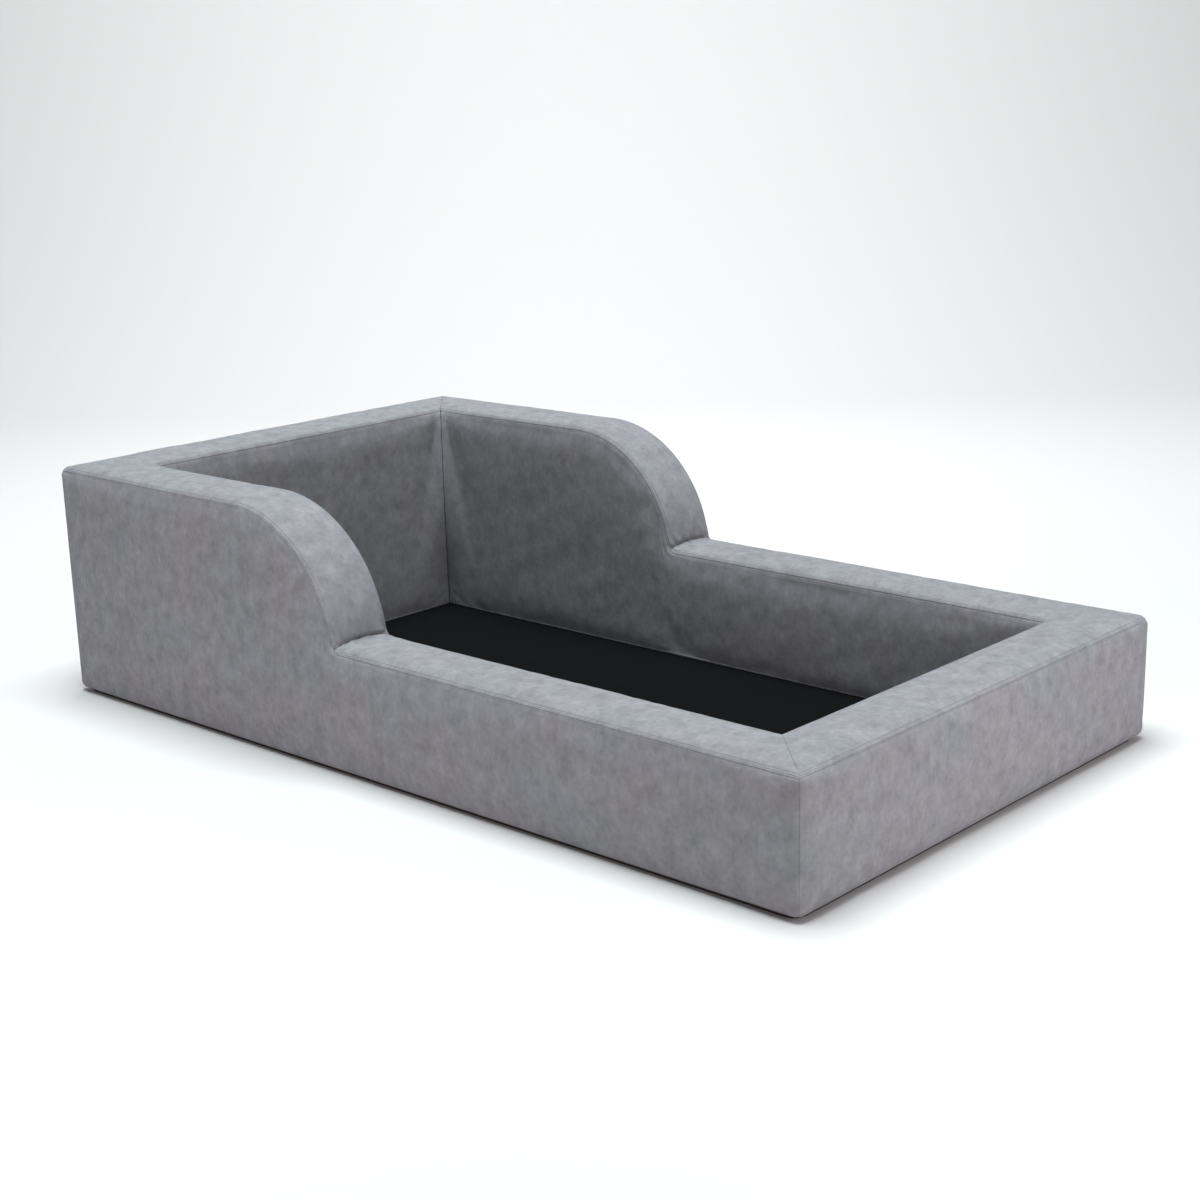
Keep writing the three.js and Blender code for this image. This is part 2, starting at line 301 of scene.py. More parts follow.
def foam_block(name, wall):
    """The ring carried from mitre to mitre: at each step a ring point goes down the line between the top line
    and its place on the floor."""
    depth, gap, from_top = (value[:, None] for value in foam_ring(steps=6))
    share = np.linspace(0, 1, FOAM_STEPS)[None, :]
    s = depth + share * (wall["reach"] - 2 * depth)
    along, height, lean, floor = wall["top"](s)
    top_along, top_up = along - FOAM_INSET * np.sin(lean), height - FOAM_INSET * np.cos(lean)
    low = WALL_LOW + FOAM_ABOVE_STRIP
    drop = np.hypot(top_along - floor, top_up - low)
    down = np.where(from_top, gap / drop, 1 - gap / drop)
    along = top_along + down * (floor - top_along)
    up = top_up + down * (low - top_up)
    points = place_in_frame(wall, along, depth, up)
    rings, steps = points.shape[:2]
    index = np.arange(rings * steps).reshape(rings, steps)
    after = np.roll(index, -1, axis=0)
    sides = np.stack([index[:, :-1], index[:, 1:], after[:, 1:], after[:, :-1]], axis=-1)
    sides = sides.reshape(-1, 4).tolist()
    ends = [index[:, 0].tolist(), index[::-1, -1].tolist()]
    if np.cross(wall["along"], wall["inward"]) < 0:
        sides = [quad[::-1] for quad in sides]
        ends = [end[::-1] for end in ends]
    mesh = bpy.data.meshes.new(name)
    mesh.from_pydata(points.reshape(-1, 3).tolist(), [], sides + ends)
    mesh.materials.append(foam)
    piece = bpy.data.objects.new(name, mesh)
    bpy.context.scene.collection.objects.link(piece)
    return piece


def open_cell_foam():
    """Cream foam: tiny open cells, with a little yellowing in patches."""
    material, tree, shader = shader_of("foam", Roughness=0.95)
    cells = noise_on_object(tree, scale=1200, detail=2)
    yellowing = noise_on_object(tree, scale=9, detail=3)
    colour = colours_along(tree, yellowing, (0.70, 0.62, 0.42), (0.80, 0.75, 0.58))
    tree.links.new(colour, shader.inputs["Base Color"])
    raise_nap(tree, shader, [cells], strength=0.6, distance=0.0008)
    return material


foam = open_cell_foam()
for wall_name, wall in walls.items():
    core = foam_block(f"{wall_name}_foam", wall)
    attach(core, "bed")
    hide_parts(f"foam_core_{wall_name}")

# ---- Cover panels -----------------------------------------------------------------------------------------
# Grey microfibre with a short brushed nap, sewn from an outer and an inner panel on each wall and bands over
# the tops. Panels meet at the middle of each rounded edge; the edges round the top have a row of stitching
# on both sides of the seam, and the fabric is drawn over the inner corners and into the arms' creases.

EDGE = 0.016
FLOOR_EDGE = 0.004
COVER = 0.0015
SEAM_INSET = 0.0065
BOTTOM_SEAM = acos(1 - SEAM_INSET / EDGE)
STITCH_AWAY = 0.0036
TURNED_IN = 0.0035
SPACING_SAMPLES = 4000
GROWTH_STEPS = 6

quarter_edge = EDGE * pi / 4
band_across = 2 * quarter_edge + WALL - 2 * EDGE


def spaced(length, fine, coarse, reach, places=()):
    """Distances from 0 to length: fine steps near both ends and the places, growing to coarse ones beyond
    reach. The count of steps is the integral of one over the step, and the distances are its inverse."""
    x = np.linspace(0, length, SPACING_SAMPLES)
    away = np.min([np.abs(x - place) for place in (0, length, *places)], axis=0)
    step = fine + (coarse - fine) * np.clip((away - reach) / (GROWTH_STEPS * coarse), 0, 1)
    count = np.concatenate([[0], np.cumsum(np.diff(x) / (0.5 * (step[1:] + step[:-1])))])
    return np.interp(np.linspace(0, count[-1], int(count[-1]) + 2), count, x)


def whole_reach(wall):
    """Length of the cover along a wall from end seam to end seam: the wall less its two rounded edges, and
    half of each edge."""
    return 2 * quarter_edge + wall["reach"] - 2 * EDGE


def round_the_ends(wall, b):
    """Distance b along the cover from the seam at the wall's end, as the distance along the wall's own top
    line and the tilt of the cover to each end: 45 degrees at the seam, none past the rounded edge."""
    reach = whole_reach(wall)
    s = EDGE + np.clip(b - quarter_edge, 0, wall["reach"] - 2 * EDGE)
    back = np.tan(np.maximum(pi / 4 - b / EDGE, 0))
    ahead = np.tan(np.maximum(pi / 4 - (reach - b) / EDGE, 0))
    return s, ahead - back


def puff_out(wall, core, tilt, radius, rise):
    """The cover's points: from the core points, out by the radius and the rise along the unit tilt."""
    size = np.sqrt(tilt[0] ** 2 + tilt[1] ** 2 + tilt[2] ** 2)
    along, depth, up = (c + (radius + rise) * t / size for c, t in zip(core, tilt))
    return place_in_frame(wall, along, depth, up), turn_to_frame(wall, *(t / size for t in tilt))


def band_surface(wall, v, b, rise):
    """A band over the top: v goes across from the outer seam to the inner one, b along."""
    outwards = np.tan(np.maximum(pi / 4 - v / EDGE, 0))
    inwards = np.tan(np.maximum(pi / 4 - (band_across - v) / EDGE, 0))
    s, endwards = round_the_ends(wall, b)
    along, height, lean, _ = wall["top"](s)
    depth = EDGE + np.clip(v - quarter_edge, 0, WALL - 2 * EDGE)
    core = (along - EDGE * np.sin(lean), depth, height - EDGE * np.cos(lean))
    tilt = (np.sin(lean) + endwards, inwards - outwards + 0 * b, np.cos(lean))
    return puff_out(wall, core, tilt, EDGE, rise)


def band_mitre(v):
    """Where a band starts along its wall: on the plane at 45 degrees through the corner."""
    round_in = np.maximum(v - (band_across - quarter_edge), 0) / EDGE
    flat = np.minimum(v, band_across - quarter_edge)
    return flat + EDGE * np.sin(round_in)


def face_drop(wall, low_edge):
    """Height of a face between its rounded edges, at its start."""
    return float(wall["top"](np.array([EDGE]))[1][0]) - EDGE - WALL_LOW - low_edge


def face_surface(wall, v, b, rise, out, low_edge):
    """An outer face (out -1) or inner face (out 1): v goes down over the top edge, then by a share of the way
    from the top line to the floor, then round under the bottom edge."""
    drop = face_drop(wall, low_edge)
    over = np.tan(np.maximum(pi / 4 - v / EDGE, 0))
    share = np.clip((v - quarter_edge) / drop, 0, 1)
    under = np.tan(np.maximum((v - quarter_edge - drop) / low_edge, 0))
    s, endwards = round_the_ends(wall, b)
    along, height, lean, floor = wall["top"](s)
    top_along, top_up = along - EDGE * np.sin(lean), height - EDGE * np.cos(lean)
    radius = np.where(share < 1, EDGE, low_edge)
    depth = radius if out < 0 else WALL - radius
    core = (
        top_along + share * (floor - top_along),
        depth + 0 * b,
        top_up + share * (WALL_LOW + low_edge - top_up),
    )
    tilt = (over * np.sin(lean) + endwards, out + 0 * b, over * np.cos(lean) - under)
    return puff_out(wall, core, tilt, radius, rise)


def face_length(wall, low_edge):
    """The whole way down a face: half the top edge, the face, and round the bottom edge to its seam."""
    return quarter_edge + face_drop(wall, low_edge) + low_edge * BOTTOM_SEAM


def inner_start(v):
    """Where an inner face starts along its wall: at its own depth, so that two meet on the corner's plane."""
    into = np.maximum(pi / 4 - v / EDGE, 0)
    return quarter_edge + WALL - 2 * EDGE + EDGE * np.cos(into)


WAVE_COUNT = 14


def waves(points, size, seed):
    """A slow random swell of about 1 up and down: sines of about this size that run in random directions,
    summed and divided by the root of their number."""
    draw = np.random.default_rng(seed)
    directions = draw.normal(size=(WAVE_COUNT, 3))
    directions /= np.linalg.norm(directions, axis=1)[:, None]
    lengths = size * draw.uniform(0.7, 1.7, WAVE_COUNT)
    phases = draw.uniform(0, 2 * pi, WAVE_COUNT)
    return np.sin(points @ (directions / lengths[:, None] * 2 * pi).T + phases).sum(-1) / sqrt(WAVE_COUNT)


SEAM_DEEP = 0.0005
SEAM_HALF_WIDTH = 0.0007
STITCH_DEEP = 0.0009
STITCH_HALF_WIDTH = 0.0011


def bell(away, half_width):
    """1 at no distance, falling off on both sides: e to the minus square of the distance in half widths."""
    return np.exp(-((away / half_width) ** 2))


def seam_dip(away, stitched):
    """How the cover sinks near a seam: a thin bell-shaped line at it, and one where the stitches pull."""
    dip = -SEAM_DEEP * bell(away, SEAM_HALF_WIDTH)
    if stitched:
        dip = dip - STITCH_DEEP * bell(away - STITCH_AWAY, STITCH_HALF_WIDTH)
    return dip


def off_seam(away, reach):
    """0 at a seam, rising smoothly to 1 over this reach."""
    return 1 - bell(away, reach)


panels = []


def add_panel(name, wall_name, surface, across, start, end, kind, node):
    """Notes a panel of the cover. start and end give where each row begins and stops along the wall."""
    panels.append({
        "name": name, "wall": walls[wall_name], "surface": surface, "across": across,
        "start": start, "end": end, "kind": kind, "node": node,
    })


CREASE_BOW = 0.006


def crease_line(v):
    """Where the seam across an arm's foot lies: in the middle of the hollow, bowed a little up the arc."""
    middle = quarter_edge + 0.5 * (arc_end + hollow_end) - EDGE
    return middle - CREASE_BOW * np.sin(pi * v / band_across)


for wall_name, wall in walls.items():
    end = whole_reach(wall)
    add_panel(
        f"{wall_name}_outer_panel", wall_name,
        lambda w, v, b, h: face_surface(w, v, b, h, -1, EDGE), face_length(wall, EDGE),
        lambda v: 0 * v, lambda v, end=end: end + 0 * v, "outer", f"outer_panel_{wall_name}",
    )
    add_panel(
        f"{wall_name}_inner_panel", wall_name,
        lambda w, v, b, h: face_surface(w, v, b, h, 1, FLOOR_EDGE), face_length(wall, FLOOR_EDGE),
        inner_start, lambda v, end=end: end - inner_start(v), "inner", f"inner_panel_{wall_name}",
    )
    if wall_name in ("head", "foot"):
        add_panel(
            f"{wall_name}_top_band", wall_name, band_surface, band_across,
            band_mitre, lambda v, end=end: end - band_mitre(v), "band", f"top_band_{wall_name}",
        )
    else:
        add_panel(
            f"{wall_name}_arm_band", wall_name, band_surface, band_across,
            band_mitre, crease_line, "arm", f"arm_band_{wall_name}",
        )
        add_panel(
            f"{wall_name}_rim_band", wall_name, band_surface, band_across,
            crease_line, lambda v, end=end: end - band_mitre(v), "rim", f"rim_band_{wall_name}",
        )


FINE_STEP = 0.0007
OPEN_STEP = 0.007
FINE_ACROSS = 0.007
FINE_ALONG = 0.006
ALONG_TO_ACROSS = 1.6


def panel_grid(panel, fine, coarse):
    """Rows across a panel and columns along it, as distances and shares, with fine steps at its seams and
    where a side wall's top line bends into the hollow."""
    middle = float(panel["start"](np.array(panel["across"] / 2)))
    long = float(panel["end"](np.array(panel["across"] / 2))) - middle
    places = []
    if panel["kind"] in ("outer", "inner") and panel["wall"]["reach"] == side_reach:
        places = [float(crease_line(0)) - middle]
    v = spaced(panel["across"], fine, coarse, FINE_ACROSS)
    t = spaced(long, ALONG_TO_ACROSS * fine, coarse, FINE_ALONG, places) / long
    return v, t


def lay_out(panel, v, t, rise):
    """Points and outward directions of a panel for rows v and shares t along them."""
    rows = v[:, None]
    start, end = panel["start"](rows), panel["end"](rows)
    b = start + t[None, :] * (end - start)
    return panel["surface"](panel["wall"], rows, b, rise) + (b - start, end - b)


CROWN = {"outer": 0.0030, "inner": 0.0020, "band": 0.0036, "arm": 0.0036, "rim": 0.0036}
POWER_ACROSS = 0.8
POWER_ALONG = 0.35


def swell(panel, v, t):
    """The foam's own crown under the cover, by powers of half a sine wave across and along the panel: highest
    in the middle, nothing at the seams."""
    across = np.sin(pi * np.clip(v / panel["across"], 0, 1)) ** POWER_ACROSS
    return CROWN[panel["kind"]] * across[:, None] * np.sin(pi * t)[None, :] ** POWER_ALONG


CLOTH_FINE_STEP = 0.004
CLOTH_OPEN_STEP = 0.014
CLOTH_STEPS = 18
MOST_MOVE = 0.0035


def settle(panels_to_settle):
    """The cover under the push of the foam: all panels as one cloth, held at the seams, a little larger than
    its foam, blown out by an even pressure without weight. Gives each panel's rows, shares and movement out.
    The movement is bent over smoothly, by a hyperbolic tangent, so that it stays below its limit."""
    meshes = []
    for panel in panels_to_settle:
        v, t = panel_grid(panel, CLOTH_FINE_STEP, CLOTH_OPEN_STEP)
        points, normals, _, _ = lay_out(panel, v, t, swell(panel, v, t))
        meshes.append((v, t, points, normals))
    points = np.concatenate([m[2].reshape(-1, 3) for m in meshes])
    quads, held, first = [], [], 0
    for v, t, grid, normals in meshes:
        index = first + np.arange(grid.shape[0] * grid.shape[1]).reshape(grid.shape[:2])
        winding = np.cross(grid[:-1, 1:] - grid[:-1, :-1], grid[1:, :-1] - grid[:-1, :-1])
        quad = np.stack([index[:-1, :-1], index[:-1, 1:], index[1:, 1:], index[1:, :-1]], axis=-1)
        facing = (winding * normals[:-1, :-1]).sum()
        quads.append((quad if facing > 0 else quad[..., ::-1]).reshape(-1, 4))
        held.append(np.concatenate([index[0], index[-1], index[:, 0], index[:, -1]]))
        first = index.max() + 1
    mesh = bpy.data.meshes.new("cover_on_foam")
    mesh.from_pydata(points.tolist(), [], np.concatenate(quads).tolist())
    cover = bpy.data.objects.new("cover_on_foam", mesh)
    bpy.context.scene.collection.objects.link(cover)
    cover.vertex_groups.new(name="seams").add(np.unique(np.concatenate(held)).tolist(), 1.0, "REPLACE")
    cloth = cover.modifiers.new("cloth", "CLOTH")
    cloth.settings.quality = 5
    cloth.settings.mass = 0.35
    cloth.settings.tension_stiffness = 20
    cloth.settings.compression_stiffness = 20
    cloth.settings.shear_stiffness = 8
    cloth.settings.bending_stiffness = 0.4
    cloth.settings.vertex_group_mass = "seams"
    cloth.settings.shrink_min = -0.0006
    cloth.settings.use_pressure = True
    cloth.settings.uniform_pressure_force = 1.2
    cloth.settings.effector_weights.gravity = 0
    cloth.collision_settings.use_collision = False
    for step in range(1, CLOTH_STEPS + 1):
        bpy.context.scene.frame_set(step)
    shaped = cover.evaluated_get(bpy.context.evaluated_depsgraph_get()).to_mesh()
    after = np.empty(len(shaped.vertices) * 3)
    shaped.vertices.foreach_get("co", after)
    bpy.data.objects.remove(cover)
    bpy.context.scene.frame_set(1)
    moved = after.reshape(-1, 3) - points
    results, first = [], 0
    for v, t, grid, normals in meshes:
        count = grid.shape[0] * grid.shape[1]
        out = (moved[first:first + count].reshape(grid.shape) * normals).sum(-1)
        results.append((v, t, MOST_MOVE * np.tanh(out / MOST_MOVE)))
        first += count
    return results


def between(rows, columns, field, v, t):
    """A field on a coarse grid, read at other rows and columns by straight lines between its values."""
    i = np.clip(np.searchsorted(rows, v) - 1, 0, len(rows) - 2)
    j = np.clip(np.searchsorted(columns, t) - 1, 0, len(columns) - 2)
    f = ((v - rows[i]) / (rows[i + 1] - rows[i]))[:, None]
    g = ((t - columns[j]) / (columns[j + 1] - columns[j]))[None, :]
    low = field[np.ix_(i, j)] * (1 - g) + field[np.ix_(i, j + 1)] * g
    high = field[np.ix_(i + 1, j)] * (1 - g) + field[np.ix_(i + 1, j + 1)] * g
    return low * (1 - f) + high * f


FACET_POINT = 0.012
FACET_SPREAD = 0.24
FACET_BELOW_TOP = 0.006
FACET_RUN_IN = 0.03


def drawn_corner(panel, up, from_start, from_end):
    """How far the cover stands off an inner corner, where it is drawn across: a facet that starts as a point
    under the top seam, widens as it goes down, and dies out above the floor. Its height falls in a straight
    line to nothing along the wall. Returns the amount at the start and at the end."""

    def facet(top, fade_from, fade_to, steep, away):
        """Steepness times what is left of the width here, faded in under the seam and out below."""
        width = FACET_POINT + FACET_SPREAD * np.clip(top - up, 0, None)
        fade = np.clip((up - fade_to) / (fade_from - fade_to), 0, 1)
        sewn = np.clip((top - FACET_BELOW_TOP - up) / FACET_RUN_IN, 0, 1)
        return steep * width * fade**2 * (3 - 2 * fade) * sewn * np.clip(1 - away / width, 0, 1)

    def head(away):
        """The facets of the two tall corners."""
        return facet(HEAD_HEIGHT, fade_from=0.31, fade_to=0.02, steep=0.36, away=away)

    def foot(away):
        """The facets of the two low corners."""
        return facet(RIM_HEIGHT, fade_from=0.14, fade_to=0.01, steep=0.14, away=away)

    if panel["wall"] is walls["head"]:
        return head(from_start), head(from_end)
    if panel["wall"] is walls["foot"]:
        return foot(from_start), foot(from_end)
    return head(from_start), foot(from_end)


FOLD_APART = 0.023
FOLD_HIGH = 0.0019
FOLD_REACH = 0.017
FOLD_SHIFT = 2.2
CREASE_DEEP = 0.0028
CREASE_HALF_WIDTH = 0.0030


def crease_pull(v, away, points):
    """Puckers where a band is sewn down into the crease at the arm's foot: a cosine across the band with a
    random shift, dying out away from the seam, and a bell-shaped groove at the seam itself."""
    folds = np.cos(2 * pi * v / FOLD_APART + FOLD_SHIFT * waves(points, size=0.05, seed=7))
    grip = np.exp(-away / FOLD_REACH) * off_seam(away, CREASE_HALF_WIDTH)
    return FOLD_HIGH * folds * grip - CREASE_DEEP * bell(away, CREASE_HALF_WIDTH)


SLOW_WAVE = 0.0007
SHORT_WAVE = 0.00025
PLAIN_SEAM_SHARE = 0.25


def panel_rise(panel, v, t, settled):
    """The sum of all that lifts or sinks a panel's cover: the foam's crown, the cloth's own billow, slow and
    short waves, and the pull of the seams round it."""
    rows = v[:, None]
    points, _, from_start, from_end = lay_out(panel, v, t, 0.0)
    below, above = panel["across"] - rows, rows
    free = off_seam(below, reach=0.02) * off_seam(above, reach=0.02)
    free = free * off_seam(from_start, reach=0.03) * off_seam(from_end, reach=0.03)
    rise = swell(panel, v, t) + SLOW_WAVE * waves(points, size=0.16, seed=3) * free
    rise = rise + SHORT_WAVE * waves(points, size=0.035, seed=11) * free
    if settled is not None:
        rise = rise + between(*settled, v, t)
    rise = rise + seam_dip(above, True)
    if panel["kind"] in ("outer", "inner"):
        rise = rise + seam_dip(from_start, False) + seam_dip(from_end, False)
    else:
        rise = rise + seam_dip(below, True)
        rise = rise + PLAIN_SEAM_SHARE * (seam_dip(from_start, False) + seam_dip(from_end, False))
        if panel["kind"] != "band":
            rise = rise + crease_pull(rows, from_end if panel["kind"] == "arm" else from_start, points)
    return rise


def microfibre():
    """Brushed grey microfibre: a nap that lies in soft patches over finer flecks, a little streaked up and
    down on the faces, with slow shifts of mauve and blue-green, and a pale sheen where it is seen edge on."""
    material, tree, shader = shader_of(
        "microfibre", Roughness=0.95, Sheen_Weight=0.025, Sheen_Roughness=0.28,
        Sheen_Tint=(0.86, 0.94, 1.0, 1), Specular_IOR_Level=0.06,
    )
    patches = noise_on_object(tree, scale=42, detail=10, stretch=(1, 1, 0.85))
    tint = noise_on_object(tree, scale=8, detail=3)
    flecks = noise_on_object(tree, scale=130, detail=5, stretch=(1, 1, 0.8))
    nap = noise_on_object(tree, scale=1300, detail=2, stretch=(1, 1, 0.6))
    colour = colours_along(tree, patches, (0.232, 0.224, 0.240), (0.320, 0.311, 0.331), spread=0.24)
    shift = colours_along(tree, tint, (0.970, 1.003, 1.0), (1.022, 0.985, 1.0), spread=0.16)
    fleck = colours_along(tree, flecks, (0.90, 0.90, 0.90), (1.09, 1.09, 1.09), spread=0.22)
    grain = colours_along(tree, nap, (0.91, 0.91, 0.91), (1.08, 1.08, 1.08), spread=0.22)
    for layer in (shift, fleck, grain):
        mix = tree.nodes.new("ShaderNodeMix")
        mix.data_type = "RGBA"
        mix.blend_type = "MULTIPLY"
        mix.inputs["Factor"].default_value = 1
        tree.links.new(colour, mix.inputs["A"])
        tree.links.new(layer, mix.inputs["B"])
        colour = mix.outputs["Result"]
    tree.links.new(colour, shader.inputs["Base Color"])
    raise_nap(tree, shader, [flecks, nap], strength=0.22, distance=0.0006)
    return material


fabric = microfibre()
settled_panels = settle(panels)
for panel, settled in zip(panels, settled_panels):
    v, t = panel_grid(panel, FINE_STEP, OPEN_STEP)
    rise = panel_rise(panel, v, t, settled)
    # The border row is turned in along the seam, which closes the groove between two panels.
    v, t = np.r_[v[0], v, v[-1]], np.r_[t[0], t, t[-1]]
    rise = np.pad(rise, 1, mode="edge")
    rise[[0, -1], :] -= TURNED_IN
    rise[1:-1, [0, -1]] -= TURNED_IN
    points, normals, from_start, from_end = lay_out(panel, v, t, rise)
    if panel["kind"] == "inner":
        near, far = drawn_corner(panel, points[..., 2], from_start, from_end)
        points += turn_to_frame(panel["wall"], near - far, near + far, 0 * near)
    piece = sheet_mesh(panel["name"], points, normals, fabric, COVER)
    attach(piece, "bed")
    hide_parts(panel["node"])

# ---- Under strips -----------------------------------------------------------------------------------------
# Black cloth that closes the cover under each wall, sewn to the panels at the bottom edges and mitred at the
# corners.

STRIP_CLOTH = 0.0008
STRIP_ROWS = 30
STRIP_COLUMNS = 200


def under_surface(wall, v, b):
    """A strip under a wall: v goes inwards from the outer bottom seam, round the edge and then flat."""
    outwards = np.tan(np.maximum(pi / 2 - BOTTOM_SEAM - v / EDGE, 0))
    s, endwards = round_the_ends(wall, b)
    depth = EDGE + np.clip(v - EDGE * (pi / 2 - BOTTOM_SEAM), 0, None)
    floor = wall["top"](s)[3]
    core = (floor, depth + 0 * b, WALL_LOW + EDGE)
    return puff_out(wall, core, (endwards, -outwards + 0 * b, -1), EDGE, 0)


strip_across = EDGE * (pi / 2 - BOTTOM_SEAM) + WALL - EDGE - FLOOR_EDGE
for wall_name, wall in walls.items():
    v = np.linspace(0, strip_across, STRIP_ROWS)[:, None]
    start = v + EDGE * (BOTTOM_SEAM - pi / 4)
    b = start + np.linspace(0, 1, STRIP_COLUMNS)[None, :] * (whole_reach(wall) - 2 * start)
    points, normals = under_surface(wall, v, b)
    strip = sheet_mesh(f"{wall_name}_under_strip", points, normals, black_cloth, STRIP_CLOTH)
    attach(strip, "bed")
    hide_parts(f"under_strip_{wall_name}")

# ---- Floor lining -----------------------------------------------------------------------------------------
# The black cloth floor of the well, laid on the boards and sewn to the inner panels all round. It is a little
# slack, so it lies in long low ripples.

RIPPLE = 0.0009

well_low, well_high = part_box("floor_lining")


def lining_grid(rows, columns):
    """A flat sheet over the well with slow ripples that fade out at the sewn edges."""
    y = np.linspace(well_low.y, well_high.y, rows)[:, None]
    x = np.linspace(well_low.x, well_high.x, columns)[None, :]
    flat = np.stack(np.broadcast_arrays(x, y, 0.0 * x * y), axis=-1)
    edge = np.minimum(well_high.x - np.abs(x), well_high.y - np.abs(y))
    ripples = 1 + 0.6 * waves(flat, size=0.22, seed=5) + 0.4 * waves(flat, size=0.07, seed=6)
    flat[..., 2] = well_high.z + RIPPLE * np.clip(ripples, 0, 3) * off_seam(edge, reach=0.05)
    return flat


lining_points = lining_grid(rows=220, columns=110)
lining = sheet_mesh(
    "lining_cloth", lining_points, np.broadcast_to((0, 0, 1.0), lining_points.shape), black_cloth,
    well_high.z - well_low.z,
)
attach(lining, "bed")
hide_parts("floor_lining")

# ---- Stitching --------------------------------------------------------------------------------------------
# Grey polyester thread, one row on each side of every seam round the tops, each stitch about 3.5 mm long and
# drawn into the groove beside the seam.

STITCH_PITCH = 0.0045
STITCH_LONG = 0.0034
THREAD = 0.00065
ROW_CLEAR = 0.004
STITCH_SUNK = THREAD / 4 - STITCH_DEEP
LOOK_AHEAD = 0.0005


def thread():
    """Twisted polyester thread, a shade lighter than the cover, with a soft shine."""
    material, tree, shader = shader_of("thread", Roughness=0.6, Sheen_Weight=0.2)
    twist = noise_on_object(tree, scale=2500, detail=1)
    colour = colours_along(tree, twist, (0.27, 0.27, 0.29), (0.38, 0.38, 0.40))
    tree.links.new(colour, shader.inputs["Base Color"])
    raise_nap(tree, shader, [twist], strength=0.3, distance=0.0001)
    return material


def bars(name, centres, along, up, long, wide, high, material):
    """Many small rounded bars in one mesh: four rings of six points along each bar, the end rings smaller
    and closed by one face. Each bar lies along one direction and is high in the other."""
    stations = np.array([-0.5, -0.36, 0.36, 0.5]) * long
    girth = np.array([0.35, 1.0, 1.0, 0.35])
    angle = np.arange(6) * pi / 3
    side = np.cross(along, up)
    ring = (
        stations[None, :, None, None] * along[:, None, None, :]
        + (girth[:, None] * np.cos(angle) * wide / 2)[None, :, :, None] * side[:, None, None, :]
        + (girth[:, None] * np.sin(angle) * high / 2)[None, :, :, None] * up[:, None, None, :]
        + centres[:, None, None, :]
    )
    first = 24 * np.arange(len(centres))[:, None, None]
    station, spoke = np.meshgrid(np.arange(3), np.arange(6), indexing="ij")
    here, there = 6 * station + spoke, 6 * station + (spoke + 1) % 6
    quads = np.stack([here, here + 6, there + 6, there], axis=-1).reshape(-1, 4)
    sides = (quads[None] + first).reshape(-1, 4)
    caps = np.stack([np.arange(6), 18 + np.arange(6)[::-1]])
    ends = (caps[None] + first).reshape(-1, 6)
    mesh = bpy.data.meshes.new(name)
    mesh.from_pydata(ring.reshape(-1, 3).tolist(), [], sides.tolist() + ends.tolist())
    mesh.polygons.foreach_set("use_smooth", np.ones(len(mesh.polygons), bool))
    mesh.materials.append(material)
    piece = bpy.data.objects.new(name, mesh)
    bpy.context.scene.collection.objects.link(piece)
    return piece


def unit(vectors):
    """The same directions with a length of 1."""
    return vectors / np.linalg.norm(vectors, axis=-1, keepdims=True)


thread_grey = thread()
for panel in panels:
    rows = [STITCH_AWAY]
    if panel["kind"] not in ("outer", "inner"):
        rows.append(panel["across"] - STITCH_AWAY)
    centres, along, up = [], [], []
    for row in rows:
        v = np.array([row])
        start = float(panel["start"](v)[0]) + ROW_CLEAR
        stop = float(panel["end"](v)[0]) - ROW_CLEAR
        b = np.arange(start, stop, STITCH_PITCH)[None, :]
        here, normal = panel["surface"](panel["wall"], v[:, None], b, STITCH_SUNK)
        ahead, _ = panel["surface"](panel["wall"], v[:, None], b + LOOK_AHEAD, STITCH_SUNK)
        centres.append(here[0])
        along.append(unit(ahead - here)[0])
        up.append(normal[0])
    piece = bars(
        f"{panel['name']}_stitches", np.concatenate(centres), np.concatenate(along), np.concatenate(up),
        STITCH_LONG, THREAD, THREAD, thread_grey,
    )
    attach(piece, "bed")

# ---- Zip --------------------------------------------------------------------------------------------------
# A nylon coil zip along the bottom edge behind the head end: two woven tapes, two rows of coil teeth, a metal
# slider that moves along the closed chain, and a metal stop at each end.

TAPE_TOP = 0.0011
TOOTH_PITCH = 0.0015
TOOTH_HIGH = 0.0014
TOOTH_LONG = 0.0020
TOOTH_WIDE = 0.0009
TEETH_APART = 0.00015
TEETH_OUT = TAPE_TOP + TOOTH_HIGH / 2
SLIDER_WALL = 0.0008
SLIDER_INSIDE = 0.00245
SLIDER_ROOM_TOP = 0.0028
SLIDER_WORN = 0.00022
LUG_OUT = 0.0041

head_wall = walls["head"]
chain_low, chain_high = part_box("zip_coil_upper")
slider_low, slider_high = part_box("zip_slider")


def on_zip(x, across, out):
    """A point of the zip: at x, across from the chain's middle along the cover, and out from the cover. Both
    ways are turned by the seam's angle on the bottom edge."""
    reach = EDGE + out
    depth = EDGE - reach * cos(BOTTOM_SEAM) + across * sin(BOTTOM_SEAM)
    up = WALL_LOW + EDGE - reach * sin(BOTTOM_SEAM) - across * cos(BOTTOM_SEAM)
    return place_in_frame(head_wall, x + WIDTH / 2, depth + 0 * x, up + 0 * x)


def woven_tape():
    """Black woven polyester tape: fine ribs along and across."""
    material, tree, shader = shader_of("zip_tape", Roughness=0.8, Sheen_Weight=0.1)
    ribs = noise_on_object(tree, scale=1400, detail=1, stretch=(1, 0.2, 1))
    colour = colours_along(tree, ribs, (0.008, 0.008, 0.009), (0.022, 0.022, 0.024))
    tree.links.new(colour, shader.inputs["Base Color"])
    raise_nap(tree, shader, [ribs], strength=0.5, distance=0.0003)
    return material


